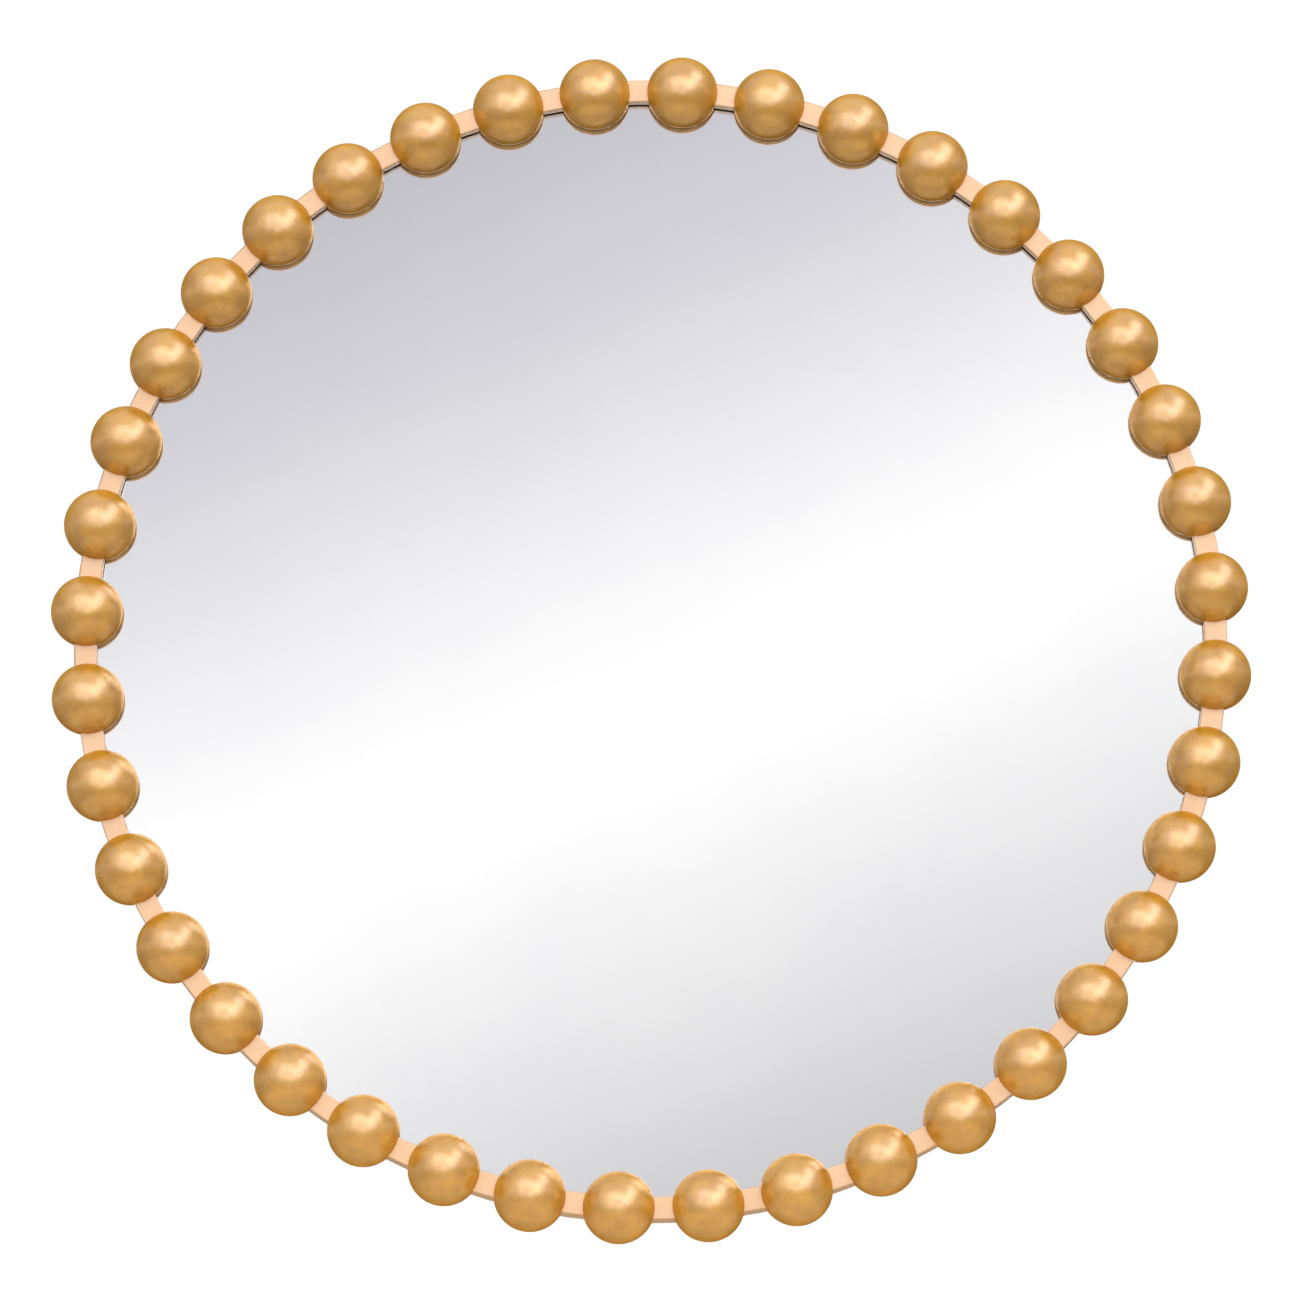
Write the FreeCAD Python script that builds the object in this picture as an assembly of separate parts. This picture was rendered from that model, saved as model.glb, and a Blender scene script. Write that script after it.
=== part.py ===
import FreeCAD, Part
import math
import os

# A round wall mirror whose frame is a slim metal channel ring with half-ball beads seated astride it.
# X runs to the right, Z up and -Y out into the room. The wall is the plane y = 0, and the origin is
# the centre of the ring on that plane. All lengths are in millimetres, all angles in degrees.

V = FreeCAD.Vector
CENTRE = V(0, 0, 0)
AXIS = V(0, 1, 0)
ACROSS = V(1, 0, 0)

# Beads: how many, how large, and the circle that their centres lie on.
BEAD_COUNT = 40
BEAD_DIAMETER = 36.5
BEAD_CIRCLE_DIAMETER = 573.5
BEAD_SINK = 3.0            # the ball's centre lies this far behind the ring's front face
BEAD_GLASS_GAP = 0.5       # between the bead's flat back and the glass
BEAD_SLOT_CLEARANCE = 0.2  # between the slot's sides and the ring
BEAD_ROUND_SHARE = 0.65    # rounding of the flat back's edge, of the bead's depth behind its equator

# Channel ring: a front web, a full-depth outer wall and a short inner lip.
RING_WIDTH = 11.5
RING_WEB = 2.0
RING_WALL = 1.5
LIP_WALL = 1.5
LIP_DEPTH = 6.0            # from the front face to the lip's rear edge
RING_EDGE_ROUND = 0.8

# The stack behind the lip, from the front: gasket, glass, bonding tape, board, open recess.
GASKET_THICKNESS = 0.4
GASKET_WIDTH = 4.0
GLASS_THICKNESS = 3.0
GLASS_CLEARANCE = 1.0      # between the glass's edge and the ring's wall
GLASS_SEAM = 0.5           # ground chamfer on both edges of the glass
TAPE_THICKNESS = 1.0
TAPE_WIDTH = 20.0
TAPE_COUNT = 5
TAPE_EDGE_MARGIN = 40.0    # from the board's edge to the ends of the tape
BOARD_THICKNESS = 9.0
BOARD_CLEARANCE = 1.0
RECESS_DEPTH = 5.6         # from the board's back to the wall

# Screws that hold the beads, from inside the channel.
BEAD_SCREW_DIAMETER = 3.0
BEAD_SCREW_HEAD = 6.0
BEAD_SCREW_HEAD_HEIGHT = 1.8
BEAD_SCREW_BITE = 8.0      # thread length inside the bead

# Screws that go into the board, through the clips and the hangers.
WOOD_SCREW_DIAMETER = 3.5
WOOD_SCREW_HEAD = 6.5
WOOD_SCREW_HEAD_HEIGHT = 2.0
WOOD_SCREW_COVER = 2.0     # board left uncut in front of a screw's tip

# What every screw shares.
HOLE_CLEARANCE = 0.25      # around a shank where it passes through sheet metal
PILOT_CLEARANCE = 0.05     # around a shank where it is driven in
TIP_CLEARANCE = 0.3        # between a screw's tip and the end of its pilot hole
HEAD_ROUND_SHARE = 0.45    # of the head's height
CROSS_LENGTH_SHARE = 0.55  # of the head's diameter
CROSS_WIDTH_SHARE = 0.16   # of the head's diameter
CROSS_DEPTH_SHARE = 0.60   # of the head's height

# Bent tabs that hold the board in the ring.
CLIP_COUNT = 6
CLIP_WIDTH = 14.0
CLIP_THICKNESS = 1.2
CLIP_SETBACK = 1.2         # from the wall to the tab's rear edge
CLIP_FIT = 0.05            # between the tab and the ring's wall
CLIP_SCREW_INSET = 9.5     # from the ring's wall to the screw
CLIP_END_MARGIN = 5.5      # from the screw to the tab's end

# Strap hangers with a D-ring each, on the back of the board.
HANGER_SPACING = 300.0
HANGER_HEIGHT = 140.0      # of the D-rings' axis above the centre
STRAP_WIDTH = 12.0
STRAP_THICKNESS = 1.0
STRAP_SCREW_COUNT = 2
STRAP_SCREW_PITCH = 12.0
WIRE_DIAMETER = 2.5
LOOP_WIDTH = 16.0          # clear width inside the D-ring
LOOP_LENGTH = 14.0         # clear length inside the D-ring
LOOP_BEND = 3.0            # bend radius of the wire's centre line beside the straight bar
LOOP_STRAP_CLEARANCE = 0.3
LOOP_SCREW_CLEARANCE = 1.0
KNUCKLE_CLEARANCE = 0.05   # between the wire and the strap's curl

CUT_OVERRUN = 2.0          # how far every cutter reaches past what it cuts

# Radii, from the bead circle.
bead_radius = BEAD_DIAMETER / 2
bead_circle = BEAD_CIRCLE_DIAMETER / 2
ring_inner = bead_circle - RING_WIDTH / 2
ring_outer = bead_circle + RING_WIDTH / 2
wall_inner = ring_outer - RING_WALL
lip_outer = ring_inner + LIP_WALL
glass_radius = wall_inner - GLASS_CLEARANCE
board_radius = wall_inner - BOARD_CLEARANCE

# Planes, from the wall towards the room.
board_back = -RECESS_DEPTH
board_front = board_back - BOARD_THICKNESS
glass_back = board_front - TAPE_THICKNESS
glass_front = glass_back - GLASS_THICKNESS
lip_back = glass_front - GASKET_THICKNESS
ring_front = lip_back - LIP_DEPTH
web_back = ring_front + RING_WEB
bead_equator = ring_front + BEAD_SINK
bead_back = glass_front - BEAD_GLASS_GAP

# Where the D-rings turn, and how far they reach.
wire_radius = WIRE_DIAMETER / 2
strap_back = board_back + STRAP_THICKNESS
loop_axis = strap_back + LOOP_STRAP_CLEARANCE + wire_radius
loop_reach = wire_radius + LOOP_LENGTH + WIRE_DIAMETER
first_screw_drop = loop_reach + LOOP_SCREW_CLEARANCE + WOOD_SCREW_HEAD / 2

bead_step = 360 / BEAD_COUNT
clip_step = 360 / CLIP_COUNT


def turned(points, sweep=360):
    """A closed outline of (radius, y) points, turned about the mirror's axis from the top."""
    corners = [V(0, y, radius) for radius, y in points]
    outline = Part.makePolygon(corners + corners[:1])
    return Part.Face(outline).revolve(CENTRE, AXIS, sweep)


def rotated(shape, angle):
    """A copy of a shape, carried round the mirror's axis, clockwise as seen from the room."""
    copy = shape.copy()
    copy.rotate(CENTRE, AXIS, angle)
    return copy


def moved(shape, x, y, z):
    copy = shape.copy()
    copy.translate(V(x, y, z))
    return copy


def pin(radius, y_from, y_to):
    """A cylinder along the mirror's axis between two planes."""
    return Part.makeCylinder(radius, y_to - y_from, V(0, y_from, 0), AXIS)


def hanger_sides():
    return {"left": -HANGER_SPACING / 2, "right": HANGER_SPACING / 2}


def bead_angles():
    """Beads lie half a step off the top, so that a bare stretch of ring is at the top centre."""
    return [(k + 1 / 2) * bead_step for k in range(BEAD_COUNT)]


def clip_angles():
    return [(k + 1 / 2) * clip_step for k in range(CLIP_COUNT)]


def clip_screw_places():
    radius = wall_inner - CLIP_SCREW_INSET
    turns = [math.radians(angle) for angle in clip_angles()]
    return [(radius * math.sin(turn), radius * math.cos(turn)) for turn in turns]


def hanger_screw_places():
    drops = [first_screw_drop + k * STRAP_SCREW_PITCH for k in range(STRAP_SCREW_COUNT)]
    return [(x, HANGER_HEIGHT - drop) for x in hanger_sides().values() for drop in drops]


def screw(seat, diameter, head, head_height, length):
    """A pan-head screw on the mirror's axis: its head sits behind the seat, its tip points at the room."""
    radius = diameter / 2
    head_radius = head / 2
    head_round = head_height * HEAD_ROUND_SHARE
    top = seat + head_height
    tip = seat - length
    body = turned([
        (0, top), (head_radius - head_round, top), (head_radius, top - head_round), (head_radius, seat),
        (radius, seat), (radius, tip + radius), (0, tip),
    ])
    arm = head * CROSS_LENGTH_SHARE
    slot = head * CROSS_WIDTH_SHARE
    depth = head_height * CROSS_DEPTH_SHARE
    floor = top - depth
    level = Part.makeBox(arm, depth + CUT_OVERRUN, slot, V(-arm / 2, floor, -slot / 2))
    upright = Part.makeBox(slot, depth + CUT_OVERRUN, arm, V(-slot / 2, floor, -arm / 2))
    return body.cut(level.fuse(upright))


def frame_ring():
    """The channel: rounded front edges, and a hole through the web behind every bead."""
    ring = turned([
        (ring_outer, ring_front), (ring_outer, 0), (wall_inner, 0), (wall_inner, web_back),
        (lip_outer, web_back), (lip_outer, lip_back), (ring_inner, lip_back), (ring_inner, ring_front),
    ])
    front_edges = [edge for edge in ring.Edges
                   if isinstance(edge.Curve, Part.Circle)
                   and math.isclose(edge.Curve.Center.y, ring_front)]
    ring = ring.makeFillet(RING_EDGE_ROUND, front_edges)
    hole_radius = BEAD_SCREW_DIAMETER / 2 + HOLE_CLEARANCE
    hole = pin(hole_radius, ring_front - CUT_OVERRUN, web_back + CUT_OVERRUN)
    hole = moved(hole, 0, 0, bead_circle)
    return ring.cut(Part.makeCompound([rotated(hole, angle) for angle in bead_angles()]))


def bead():
    """One bead at the top: a ball cut flat behind its equator, its back edge rounded, slotted to straddle
    the ring."""
    behind = bead_back - bead_equator
    cut_latitude = math.degrees(math.asin(behind / bead_radius))
    ball = Part.makeSphere(bead_radius, V(0, bead_equator, bead_circle), V(0, -1, 0), -cut_latitude, 90, 360)
    back_edge = [edge for edge in ball.Edges if edge.Closed and not edge.Degenerated]
    ball = ball.makeFillet(behind * BEAD_ROUND_SHARE, back_edge)
    slot_inner = ring_inner - BEAD_SLOT_CLEARANCE
    slot_outer = ring_outer + BEAD_SLOT_CLEARANCE
    slot_end = bead_back + CUT_OVERRUN
    slot = turned([
        (slot_inner, ring_front), (slot_outer, ring_front), (slot_outer, slot_end), (slot_inner, slot_end),
    ])
    pilot_radius = BEAD_SCREW_DIAMETER / 2 + PILOT_CLEARANCE
    pilot = pin(pilot_radius, ring_front - BEAD_SCREW_BITE - TIP_CLEARANCE, ring_front + CUT_OVERRUN)
    return ball.cut(slot).cut(moved(pilot, 0, 0, bead_circle))


def bead_screws():
    """One screw behind every bead, its head inside the channel."""
    length = RING_WEB + BEAD_SCREW_BITE
    one = screw(web_back, BEAD_SCREW_DIAMETER, BEAD_SCREW_HEAD, BEAD_SCREW_HEAD_HEIGHT, length)
    one = moved(one, 0, 0, bead_circle)
    return Part.makeCompound([rotated(one, angle) for angle in bead_angles()])


def glass_gasket():
    """A flat foam ring between the lip's rear edge and the glass."""
    rim = ring_inner + GASKET_WIDTH
    return turned([(ring_inner, lip_back), (rim, lip_back), (rim, glass_front), (ring_inner, glass_front)])


def mirror_glass():
    """A round pane with both edges ground off."""
    pane = pin(glass_radius, glass_front, glass_back)
    rims = [edge for edge in pane.Edges if isinstance(edge.Curve, Part.Circle)]
    return pane.makeChamfer(GLASS_SEAM, rims)


def bonding_tape():
    """Upright strips of double-sided foam tape, each as long as the board allows."""
    reach = board_radius - TAPE_EDGE_MARGIN
    pitch = 2 * reach / TAPE_COUNT
    strips = []
    for k in range(TAPE_COUNT):
        x = (k - (TAPE_COUNT - 1) / 2) * pitch
        half = math.sqrt(reach ** 2 - (abs(x) + TAPE_WIDTH / 2) ** 2)
        corner = V(x - TAPE_WIDTH / 2, glass_back, -half)
        strips.append(Part.makeBox(TAPE_WIDTH, TAPE_THICKNESS, 2 * half, corner))
    return Part.makeCompound(strips)


def backing_board():
    """A round board with a pilot hole for every clip and hanger screw."""
    board = pin(board_radius, board_front, board_back)
    pilot_radius = WOOD_SCREW_DIAMETER / 2 + PILOT_CLEARANCE
    pilot_end = board_front + WOOD_SCREW_COVER - TIP_CLEARANCE
    pilot = pin(pilot_radius, pilot_end, board_back + CUT_OVERRUN)
    places = clip_screw_places() + hanger_screw_places()
    return board.cut(Part.makeCompound([moved(pilot, x, 0, z) for x, z in places]))


def board_clip():
    """A bent tab at the top: one leg lies along the ring's wall, the other on the board's back."""
    outside = wall_inner - CLIP_FIT
    inside = wall_inner - CLIP_SCREW_INSET - CLIP_END_MARGIN
    rear = -CLIP_SETBACK
    leg_back = board_back + CLIP_THICKNESS
    sweep = math.degrees(CLIP_WIDTH / wall_inner)
    tab = turned([
        (outside, board_back), (outside, rear), (outside - CLIP_THICKNESS, rear),
        (outside - CLIP_THICKNESS, leg_back), (inside, leg_back), (inside, board_back),
    ], sweep)
    hole_radius = WOOD_SCREW_DIAMETER / 2 + HOLE_CLEARANCE
    hole = pin(hole_radius, board_back - CUT_OVERRUN, leg_back + CUT_OVERRUN)
    return rotated(tab, -sweep / 2).cut(moved(hole, 0, 0, wall_inner - CLIP_SCREW_INSET))


def board_screws(sheet, places):
    """Wood screws with their heads on a sheet of the given thickness that lies on the board's back."""
    length = sheet + BOARD_THICKNESS - WOOD_SCREW_COVER
    seat = board_back + sheet
    one = screw(seat, WOOD_SCREW_DIAMETER, WOOD_SCREW_HEAD, WOOD_SCREW_HEAD_HEIGHT, length)
    return Part.makeCompound([moved(one, x, 0, z) for x, z in places])


def hanger_strap(x):
    """A strap on the board's back, round at its lower end and curled round the D-ring's bar at the top."""
    half = STRAP_WIDTH / 2
    last_drop = first_screw_drop + (STRAP_SCREW_COUNT - 1) * STRAP_SCREW_PITCH
    end = HANGER_HEIGHT - last_drop
    left_top = V(x - half, board_back, HANGER_HEIGHT)
    right_top = V(x + half, board_back, HANGER_HEIGHT)
    left_end = V(x - half, board_back, end)
    right_end = V(x + half, board_back, end)
    tongue = Part.Arc(right_end, V(x, board_back, end - half), left_end)
    outline = Part.Wire([
        Part.LineSegment(left_end, left_top).toShape(), Part.LineSegment(left_top, right_top).toShape(),
        Part.LineSegment(right_top, right_end).toShape(), tongue.toShape(),
    ])
    plate = Part.Face(outline).extrude(V(0, STRAP_THICKNESS, 0))
    bore_radius = wire_radius + KNUCKLE_CLEARANCE
    start = V(x - half, loop_axis, HANGER_HEIGHT)
    curl = Part.makeCylinder(bore_radius + STRAP_THICKNESS, STRAP_WIDTH, start, ACROSS)
    bore = Part.makeCylinder(bore_radius, STRAP_WIDTH, start, ACROSS)
    hole_radius = WOOD_SCREW_DIAMETER / 2 + HOLE_CLEARANCE
    hole = pin(hole_radius, board_back - CUT_OVERRUN, strap_back + CUT_OVERRUN)
    own_places = [place for place in hanger_screw_places() if place[0] == x]
    holes = Part.makeCompound([moved(hole, px, 0, pz) for px, pz in own_places])
    return plate.fuse(curl).cut(bore).cut(holes).removeSplitter()


def d_ring(x):
    """A bent wire loop that hangs from its straight bar: two tight bends, two short sides and a round end."""
    half = LOOP_WIDTH / 2 + wire_radius
    bar_end = half - LOOP_BEND
    side_end = wire_radius + LOOP_LENGTH - LOOP_WIDTH / 2
    bar = Part.makeCylinder(wire_radius, 2 * bar_end, V(-bar_end, 0, 0), ACROSS)
    pieces = [bar]
    for side in (-1, 1):
        section = Part.Face(Part.Wire(Part.makeCircle(wire_radius, V(side * bar_end, 0, 0), ACROSS)))
        pieces.append(section.revolve(V(side * bar_end, 0, -LOOP_BEND), AXIS, side * 90))
        down = V(side * half, 0, -LOOP_BEND)
        pieces.append(Part.makeCylinder(wire_radius, side_end - LOOP_BEND, down, V(0, 0, -1)))
    end_section = Part.Face(Part.Wire(Part.makeCircle(wire_radius, V(half, 0, -side_end), V(0, 0, 1))))
    pieces.append(end_section.revolve(V(0, 0, -side_end), AXIS, 180))
    loop = pieces[0].multiFuse(pieces[1:]).removeSplitter()
    return moved(loop, x, loop_axis, HANGER_HEIGHT)


def assembly():
    """Every piece of the mirror, by name."""
    pieces = {
        "frame_ring": frame_ring(),
        "bead_screws": bead_screws(),
        "glass_gasket": glass_gasket(),
        "mirror_glass": mirror_glass(),
        "bonding_tape": bonding_tape(),
        "backing_board": backing_board(),
        "clip_screws": board_screws(CLIP_THICKNESS, clip_screw_places()),
        "hanger_screws": board_screws(STRAP_THICKNESS, hanger_screw_places()),
    }
    top_bead = bead()
    for k, angle in enumerate(bead_angles(), start=1):
        pieces[f"bead_{k:02d}"] = rotated(top_bead, angle)
    top_clip = board_clip()
    for k, angle in enumerate(clip_angles(), start=1):
        pieces[f"board_clip_{k}"] = rotated(top_clip, angle)
    for side, x in hanger_sides().items():
        pieces[f"hanger_strap_{side}"] = hanger_strap(x)
        pieces[f"d_ring_{side}"] = d_ring(x)
    return pieces


os.makedirs("parts", exist_ok=True)
for name, shape in assembly().items():
    shape.exportStep(f"parts/{name}.step")
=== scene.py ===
import math

import bpy
import numpy as np
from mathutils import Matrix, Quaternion, Vector


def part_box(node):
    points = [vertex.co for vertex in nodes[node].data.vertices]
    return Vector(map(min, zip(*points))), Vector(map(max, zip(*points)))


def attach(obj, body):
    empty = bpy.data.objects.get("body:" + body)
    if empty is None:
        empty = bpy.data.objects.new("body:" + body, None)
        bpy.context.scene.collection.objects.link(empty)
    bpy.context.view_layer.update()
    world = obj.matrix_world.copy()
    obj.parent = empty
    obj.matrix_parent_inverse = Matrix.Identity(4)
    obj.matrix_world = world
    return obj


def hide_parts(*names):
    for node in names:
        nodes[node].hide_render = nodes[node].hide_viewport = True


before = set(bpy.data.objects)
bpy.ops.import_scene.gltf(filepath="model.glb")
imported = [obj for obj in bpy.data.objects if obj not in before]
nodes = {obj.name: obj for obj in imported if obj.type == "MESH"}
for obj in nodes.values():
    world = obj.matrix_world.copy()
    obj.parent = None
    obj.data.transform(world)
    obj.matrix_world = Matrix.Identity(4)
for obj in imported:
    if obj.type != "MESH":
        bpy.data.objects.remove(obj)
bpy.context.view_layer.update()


# Channel ring. A strip of steel rolled to a channel and bent to a hoop, its joint welded and ground
# flush, then sprayed with satin gold lacquer. Its colour is drawn a paler peach than the beads': partly the
# lacquer, partly painted sheen for the bright band its flat face reflects. Everything else is fastened to
# it.

MM = 0.001
# Lighter than the beads' gold partly as painted sheen: the bright reflection on the ring's flat face is put
# into its colour.
RING_GOLD_AND_PAINTED_SHEEN = ("#DEB284", "#D8AB7C")
# Most of a noise's values lie in this range.
NOISE_SPREAD = (0.35, 0.65)
# Where a Mix node keeps its two colours, among its inputs, and their blend, among its outputs.
FIRST_COLOUR, SECOND_COLOUR, BLEND = 6, 7, 2


def linear(hex_colour):
    """An sRGB hex colour as linear red, green, blue and alpha."""
    srgb = np.array([int(hex_colour[k:k + 2], 16) for k in (1, 3, 5)]) / 255
    rgb = np.where(srgb <= 0.04045, srgb / 12.92, ((srgb + 0.055) / 1.055) ** 2.4)
    return (*rgb.tolist(), 1.0)


def add_node(tree, kind, settings=None, inputs=None):
    """Adds a node: settings are its own properties, inputs its sockets, each given a value or a link."""
    node = tree.nodes.new(kind)
    for name, value in (settings or {}).items():
        setattr(node, name, value)
    for name, value in (inputs or {}).items():
        if isinstance(value, bpy.types.NodeSocket):
            tree.links.new(value, node.inputs[name])
        else:
            node.inputs[name].default_value = value
    return node


def per_metre(size_mm):
    """The scale at which a noise repeats about every size_mm, as Object coordinates are in metres."""
    return 1.0 / (size_mm * MM)


def finish_material(name, colours, mottle_mm, roughness, grain_mm, grain_height_mm, **constants):
    """A finish on Object coordinates: a broad noise blends two colours, a fine one blends two
    roughnesses and raises the grain. Constants go straight onto the shader's sockets."""
    material = bpy.data.materials.new(name)
    material.use_nodes = True
    tree = material.node_tree
    shader = tree.nodes["Principled BSDF"]
    for socket, value in constants.items():
        shader.inputs[socket.replace("_", " ")].default_value = value
    place = add_node(tree, "ShaderNodeTexCoord").outputs["Object"]
    mottle = add_node(tree, "ShaderNodeTexNoise", inputs={
        "Vector": place, "Scale": per_metre(mottle_mm), "Detail": 5.0, "Roughness": 0.65})
    grain = add_node(tree, "ShaderNodeTexNoise", inputs={
        "Vector": place, "Scale": per_metre(grain_mm), "Detail": 2.0})
    share = add_node(tree, "ShaderNodeMapRange", inputs={
        "Value": mottle.outputs["Fac"], "From Min": NOISE_SPREAD[0], "From Max": NOISE_SPREAD[1]})
    colour = add_node(tree, "ShaderNodeMix", {"data_type": "RGBA"}, {
        "Factor": share.outputs["Result"],
        FIRST_COLOUR: linear(colours[0]), SECOND_COLOUR: linear(colours[1])})
    gloss = add_node(tree, "ShaderNodeMapRange", inputs={
        "Value": grain.outputs["Fac"], "From Min": NOISE_SPREAD[0], "From Max": NOISE_SPREAD[1],
        "To Min": roughness[0], "To Max": roughness[1]})
    bump = add_node(tree, "ShaderNodeBump", inputs={
        "Height": grain.outputs["Fac"], "Strength": 1.0, "Distance": grain_height_mm * MM})
    tree.links.new(colour.outputs[BLEND], shader.inputs["Base Color"])
    tree.links.new(gloss.outputs["Result"], shader.inputs["Roughness"])
    tree.links.new(bump.outputs["Normal"], shader.inputs["Normal"])
    return material


def finish_nodes(names, material):
    """Gives CAD nodes one material in place of the plain ones they came with."""
    for name in names:
        slots = nodes[name].data.materials
        slots.clear()
        slots.append(material)


# Pale peach gold with a soft, almost even sheen. The paleness is partly painted sheen, the bright band the
# flat face reflects put into the colour. The spray's grain is drawn coarser than the real one, a few tenths
# of a millimetre, so that it shows.
ring_lacquer_and_painted_sheen = finish_material(
    "ring_gold_lacquer_and_painted_sheen", RING_GOLD_AND_PAINTED_SHEEN, mottle_mm=40.0, roughness=(0.42, 0.52),
    grain_mm=0.9, grain_height_mm=0.004,
    Metallic=0.3, Coat_Weight=1.0, Coat_Roughness=0.5, Coat_IOR=1.9)
finish_nodes(["frame_ring"], ring_lacquer_and_painted_sheen)


# Beads. Half balls of cast resin, slotted across the back to sit astride the ring, each held by a
# screw from inside the channel. They are sprayed with a deeper satin gold under a clear coat.

BEAD_GOLD = ("#DA9D14", "#C2870C")
# How far a face turns away from the eye, from 0 to 1, where the coat starts to fade and where it is gone.
COAT_FADE = (0.3, 0.75)

# Deep yellow gold, a wide milky highlight from the coat, a dark line where the room is dark. The grain
# is drawn coarser here too.
satin_gold = finish_material(
    "satin_gold_on_cast_resin", BEAD_GOLD, mottle_mm=9.0, roughness=(0.36, 0.46),
    grain_mm=1.3, grain_height_mm=0.035,
    Metallic=0.35, Specular_IOR_Level=0.1, Coat_Roughness=0.335, Coat_IOR=2.4)
tree = satin_gold.node_tree
grazing = add_node(tree, "ShaderNodeLayerWeight", inputs={"Blend": 0.5}).outputs["Facing"]
coat = add_node(tree, "ShaderNodeMapRange", {"interpolation_type": "SMOOTHSTEP"}, {
    "Value": grazing, "From Min": COAT_FADE[0], "From Max": COAT_FADE[1], "To Min": 1.0, "To Max": 0.0})
tree.links.new(coat.outputs["Result"], tree.nodes["Principled BSDF"].inputs["Coat Weight"])
finish_nodes([name for name in nodes if name.startswith("bead_") and name != "bead_screws"], satin_gold)


# Screws. Steel screws with a bright zinc plate: one to a bead, driven from inside the channel, and
# those that hold the clips and the hangers to the board.

ZINC = ("#C9CDD2", "#A9AFB8")

# Cool bright grey with a slightly cloudy shine.
zinc_plate = finish_material(
    "bright_zinc_plate", ZINC, mottle_mm=6.0, roughness=(0.26, 0.40),
    grain_mm=0.5, grain_height_mm=0.004, Metallic=1.0)
finish_nodes(["bead_screws", "clip_screws", "hanger_screws"], zinc_plate)


# Gasket. A flat ring of brown closed-cell foam between the ring's inner lip and the pane. It keeps the
# glass off the steel.

GASKET_BROWN = ("#9A7448", "#86623C")

# A dull dark brown line at the foot of the ring, with no shine.
brown_foam = finish_material(
    "brown_closed_cell_foam", GASKET_BROWN, mottle_mm=5.0, roughness=(0.85, 1.0),
    grain_mm=0.4, grain_height_mm=0.03)
finish_nodes(["glass_gasket"], brown_foam)


# Pane. A disc of clear float glass with its rim seamed, silvered on the back, so what it shows lies a
# glass thickness behind its face. The silver stops short of the rim.

SILVER_MM = 0.04
SILVER_MARGIN_MM = 1.0
SEAM_MM = 0.5
DISC_SEGMENTS = 256
GLASS_TINT = ("#FFFFFF", "#FDFDFD")
SILVER_TONE = ("#FDFDFD", "#FBFBFC")
WAVE_MM = 160.0


def turned_disc(name, profile, segments):
    """A closed solid turned about the Y axis: profile rows are (radius, y) from the middle of the front
    over the rim to the middle of the back, and angle t puts a row at (radius cos t, y, radius sin t)."""
    rows = np.asarray(profile, float)
    turn = np.linspace(0.0, 2.0 * np.pi, segments, endpoint=False)
    radius, depth = rows[1:-1, :1], rows[1:-1, 1:]
    rings = np.stack([radius * np.cos(turn), depth + 0.0 * turn, radius * np.sin(turn)], axis=-1)
    points = np.vstack([[0.0, rows[0, 1], 0.0], rings.reshape(-1, 3), [0.0, rows[-1, 1], 0.0]])
    here = np.arange(segments)
    after = (here + 1) % segments
    ring = 1 + segments * np.arange(len(rows) - 3)[:, None]
    next_ring = ring + segments
    sides = np.stack([next_ring + here, next_ring + after, ring + after, ring + here], axis=-1)
    last = 1 + segments * (len(rows) - 3)
    front = np.stack([0 * here, 1 + here, 1 + after], axis=-1)
    back = np.stack([0 * here + len(points) - 1, last + after, last + here], axis=-1)
    mesh = bpy.data.meshes.new(name)
    mesh.from_pydata(points.tolist(), [], front.tolist() + sides.reshape(-1, 4).tolist() + back.tolist())
    mesh.update()
    piece = bpy.data.objects.new(name, mesh)
    bpy.context.scene.collection.objects.link(piece)
    return piece


pane_low, pane_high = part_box("mirror_glass")
pane_radius = 0.5 * (pane_high.x - pane_low.x)
seam = SEAM_MM * MM
pane = turned_disc("mirror_pane", [
    (0.0, pane_low.y),
    (pane_radius - seam, pane_low.y),
    (pane_radius, pane_low.y + seam),
    (pane_radius, pane_high.y - seam),
    (pane_radius - seam, pane_high.y),
    (0.0, pane_high.y)], DISC_SEGMENTS)
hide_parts("mirror_glass")
silver_radius = pane_radius - SILVER_MARGIN_MM * MM
silver_front = pane_high.y - 0.5 * SILVER_MM * MM
silver_back = pane_high.y + 0.5 * SILVER_MM * MM
silver = turned_disc("mirror_silvering", [
    (0.0, silver_front), (silver_radius, silver_front), (silver_radius, silver_back), (0.0, silver_back)],
    DISC_SEGMENTS)
for piece in (pane, silver):
    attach(piece, "mirror_body")

# Colourless, with the faint long waves of float glass.
float_glass = finish_material(
    "clear_float_glass", GLASS_TINT, mottle_mm=WAVE_MM, roughness=(0.0, 0.0),
    grain_mm=WAVE_MM, grain_height_mm=0.001, IOR=1.52, Transmission_Weight=1.0)
pane.data.materials.append(float_glass)
# A full, even reflection with a barely cloudier patch here and there.
silvering = finish_material(
    "silvering", SILVER_TONE, mottle_mm=WAVE_MM, roughness=(0.0, 0.01),
    grain_mm=WAVE_MM, grain_height_mm=0.0005, Metallic=1.0)
silver.data.materials.append(silvering)


# Bonding tape. Strips of white double-sided foam tape, pressed on by hand. They hold the pane's
# silvered back to the board.

TAPE_WHITE = ("#EDEAE2", "#E2DED4")

# Dull warm white, a little stained.
white_foam = finish_material(
    "white_foam_tape", TAPE_WHITE, mottle_mm=8.0, roughness=(0.8, 0.95), grain_mm=0.5, grain_height_mm=0.03)
finish_nodes(["bonding_tape"], white_foam)


# Backing board. A disc of medium-density fibreboard that closes the back and carries the hangers, its
# face rolled with matt black paint. The clips hold it in the ring.

BOARD_BLACK = ("#2A2A29", "#1A1A1A")

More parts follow.
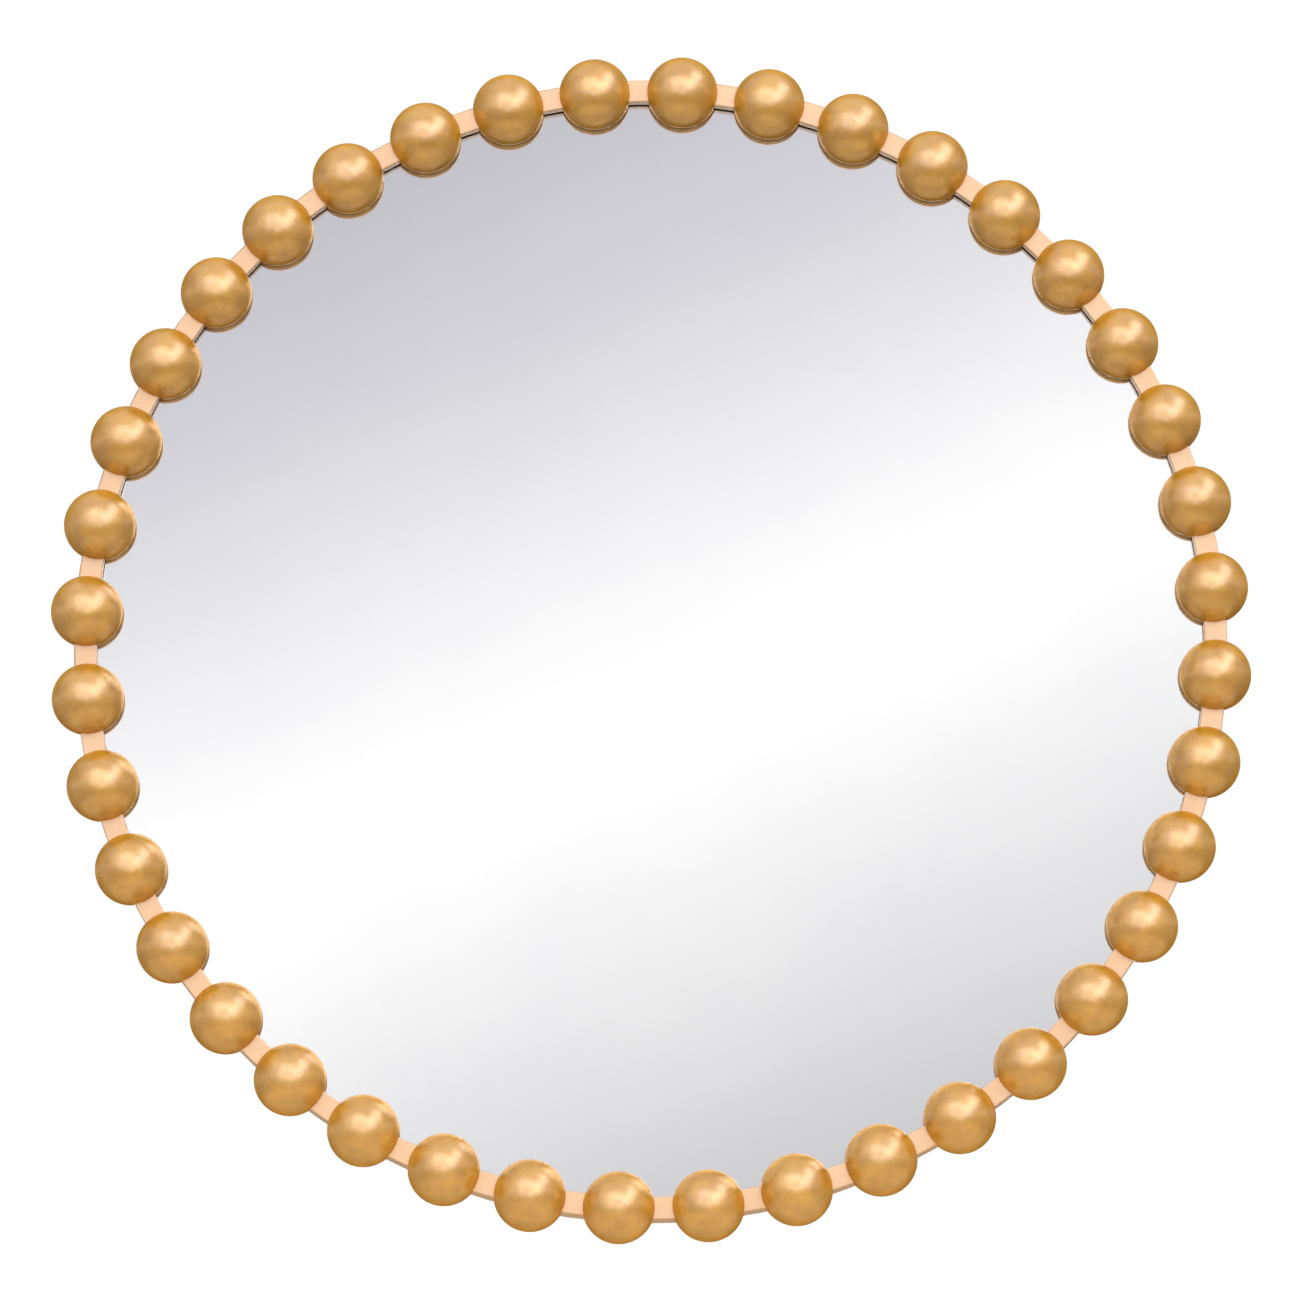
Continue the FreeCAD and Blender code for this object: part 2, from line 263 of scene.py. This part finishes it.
# Soft black with the dimples of a roller and duller clouds.
black_board = finish_material(
    "black_painted_fibreboard", BOARD_BLACK, mottle_mm=60.0, roughness=(0.60, 0.82),
    grain_mm=1.6, grain_height_mm=0.03)
finish_nodes(["backing_board"], black_board)


# Clips and hangers. Bent tabs that hold the board in the ring and straps that hang the mirror, pressed
# from zinc-plated strip steel and screwed to the board.

STRIP_GREY = ("#BDC1C6", "#A2A7AE")

# Grey steel, duller than the screws, with a fine rolled grain.
strip_steel = finish_material(
    "zinc_plated_strip", STRIP_GREY, mottle_mm=14.0, roughness=(0.30, 0.46),
    grain_mm=0.7, grain_height_mm=0.004, Metallic=1.0)
finish_nodes([name for name in nodes if name.startswith(("board_clip_", "hanger_strap_"))], strip_steel)


# D-rings. Steel wire bent to a D and nickel plated. Each hangs in the curled end of its strap, where it
# is free to swing.

NICKEL = ("#CFC9BD", "#C0B9AC")

# Warm, bright and smooth.
nickel_wire = finish_material(
    "nickel_plated_wire", NICKEL, mottle_mm=5.0, roughness=(0.16, 0.28),
    grain_mm=0.6, grain_height_mm=0.002, Metallic=1.0)
finish_nodes(["d_ring_left", "d_ring_right"], nickel_wire)


# Studio. A pale round floor below the mirror, soft boxes round the camera, and a plain room for the
# mirror and the gold to reflect: a low wall, dark in the middle and lighter to the sides, with a white
# band above it, the one the mirror shows. The camera itself sees plain white.

FLOOR_CREAM = ("#ECDDBA", "#E8D8B3")
FLOOR_Z = -0.62
FLOOR_MIDDLE_Y = -0.05
FLOOR_RADIUS = 0.95
FLOOR_THICK = 0.01
# The band leans by its tilt, but no further to the sides than its reach, and runs level from there.
BAND_TILT = math.radians(21.3)
BAND_REACH = 0.12
# Tones of the wall from left to right, and of the room above it from low to high, both from -1 to 1.
WALL_TONES = (
    (-1.0, "#A0A0A2"), (-0.50, "#8E8E90"), (-0.20, "#545456"), (0.0, "#4A4A4C"), (0.24, "#4C4C4E"),
    (0.50, "#76767A"), (1.0, "#8C8C8E"))
ROOM_TONES = (
    (0.030, "#A2A2A4"), (0.078, "#D7D7D9"), (0.125, "#FFFFFF"), (0.139, "#FFFFFF"), (0.1916, "#D0CFD5"),
    (0.2066, "#C8C7CD"), (0.26, "#9C9C9F"), (0.5, "#A6A6A9"), (0.85, "#E8E8EA"))
# The heights between which the wall gives way to the room.
WALL_TOP = (-0.36, 0.03)
ROOM_LEVEL = 1.06
# Name, azimuth, elevation and roll, span and rise as seen from the mirror's middle, all in degrees, and
# brightness. Azimuth and elevation count from straight ahead of the mirror, to the right and up.
SOFT_BOXES = (
    ("right_panel", 22.0, 15.0, 0.0, 26.0, 30.0, 2.7),
    ("boom_soft_box", 51.0, 38.0, 45.0, 46.0, 24.0, 2.6),
    ("upper_panel", -11.0, 31.0, 0.0, 42.0, 27.0, 2.2),
    ("left_panel", -22.0, 6.0, 0.0, 26.0, 20.0, 1.6),
    ("left_wall", -50.0, 24.0, 0.0, 32.0, 32.0, 0.7),
    ("low_panel", 1.0, -4.5, 0.0, 18.0, 10.0, 3.6))
SOFT_BOX_DISTANCE = 6.0

floor_disc = turned_disc("studio_floor", [
    (0.0, -FLOOR_THICK), (FLOOR_RADIUS, -FLOOR_THICK), (FLOOR_RADIUS, 0.0), (0.0, 0.0)], DISC_SEGMENTS)
spots = np.empty(3 * len(floor_disc.data.vertices))
floor_disc.data.vertices.foreach_get("co", spots)
across, thick, along = spots.reshape(-1, 3).T
floor_disc.data.vertices.foreach_set(
    "co", np.column_stack([across, FLOOR_MIDDLE_Y - along, FLOOR_Z + thick]).ravel())
floor_disc.data.update()
# Matt cream, almost even, that warms the beads from below.
pale_floor = finish_material(
    "pale_floor", FLOOR_CREAM, mottle_mm=300.0, roughness=(0.8, 0.95), grain_mm=4.0, grain_height_mm=0.05)
floor_disc.data.materials.append(pale_floor)

world = bpy.data.worlds.new("studio")
bpy.context.scene.world = world
world.use_nodes = True
tree = world.node_tree
direction = add_node(tree, "ShaderNodeTexCoord").outputs["Generated"]
heading = add_node(tree, "ShaderNodeSeparateXYZ", inputs={"Vector": direction})
near = add_node(tree, "ShaderNodeMapRange", inputs={
    "Value": heading.outputs["X"], "From Min": -BAND_REACH, "From Max": BAND_REACH,
    "To Min": -BAND_REACH, "To Max": BAND_REACH})
sloped = add_node(tree, "ShaderNodeCombineXYZ", inputs={
    "X": near.outputs["Result"], "Z": heading.outputs["Z"]})
height = add_node(tree, "ShaderNodeVectorMath", {"operation": "DOT_PRODUCT"}, {
    0: sloped.outputs["Vector"], 1: (-math.sin(BAND_TILT), 0.0, math.cos(BAND_TILT))}).outputs["Value"]
painted = []
for value, tones in ((heading.outputs["X"], WALL_TONES), (height, ROOM_TONES)):
    level = add_node(tree, "ShaderNodeMapRange", inputs={"Value": value, "From Min": -1.0, "From Max": 1.0})
    ramp = add_node(tree, "ShaderNodeValToRGB", inputs={"Fac": level.outputs["Result"]})
    stops = ramp.color_ramp.elements
    for k, (place, tone) in enumerate(tones):
        stop = stops[k] if k < len(stops) else stops.new(1.0)
        stop.position = 0.5 * (place + 1.0)
        stop.color = linear(tone)
    painted.append(ramp.outputs["Color"])
above = add_node(tree, "ShaderNodeMapRange", inputs={
    "Value": height, "From Min": WALL_TOP[0], "From Max": WALL_TOP[1]})
room = add_node(tree, "ShaderNodeMix", {"data_type": "RGBA"}, {
    "Factor": above.outputs["Result"], FIRST_COLOUR: painted[0], SECOND_COLOUR: painted[1]})
to_camera = add_node(tree, "ShaderNodeLightPath").outputs["Is Camera Ray"]
shown = add_node(tree, "ShaderNodeMix", {"data_type": "RGBA"}, {
    "Factor": to_camera, FIRST_COLOUR: room.outputs[BLEND], SECOND_COLOUR: linear("#FFFFFF")})
background = tree.nodes["Background"]
tree.links.new(shown.outputs[BLEND], background.inputs["Color"])
background.inputs["Strength"].default_value = ROOM_LEVEL


def stand(thing, middle, azimuth, elevation, roll, distance):
    """Stands a lamp or the camera at a distance from middle, facing it and turned by roll. The way out is
    (sin a cos e, -cos a cos e, sin e) for azimuth a and elevation e, in degrees."""
    azimuth, elevation = math.radians(azimuth), math.radians(elevation)
    out = Vector((
        math.sin(azimuth) * math.cos(elevation),
        -math.cos(azimuth) * math.cos(elevation),
        math.sin(elevation)))
    thing.location = middle + distance * out
    thing.rotation_mode = "QUATERNION"
    thing.rotation_quaternion = out.to_track_quat("Z", "Y") @ Quaternion((0, 0, 1), math.radians(roll))
    bpy.context.scene.collection.objects.link(thing)


for name, azimuth, elevation, roll, span, rise, brightness in SOFT_BOXES:
    lamp = bpy.data.lights.new(name, "AREA")
    lamp.shape = "RECTANGLE"
    lamp.size, lamp.size_y = (
        2.0 * SOFT_BOX_DISTANCE * math.tan(math.radians(0.5 * angle)) for angle in (span, rise))
    # A surface as bright as the lamp gives off brightness times pi watts a square metre.
    lamp.energy = brightness * math.pi * lamp.size * lamp.size_y
    box = bpy.data.objects.new(name, lamp)
    box.visible_camera = False
    stand(box, Vector(), azimuth, elevation, roll, SOFT_BOX_DISTANCE)


# Camera. It stands where the photograph was taken from, straight ahead of the mirror and a little below
# its middle, with a long lens.

EYE_AZIMUTH = -0.45
EYE_ELEVATION = -8.9
EYE_ROLL = -1.29
EYE_DISTANCE = 3.5933
EYE_TARGET = Vector((-0.0005, -0.022, -0.0033))
LENS_MM = 196.1
SENSOR_MM = 36.0
camera_data = bpy.data.cameras.new("eye")
camera_data.lens = LENS_MM
camera_data.sensor_width = SENSOR_MM
camera = bpy.data.objects.new("eye", camera_data)
stand(camera, EYE_TARGET, EYE_AZIMUTH, EYE_ELEVATION, EYE_ROLL, EYE_DISTANCE)
bpy.context.scene.camera = camera
bpy.context.scene.view_settings.view_transform = "Standard"
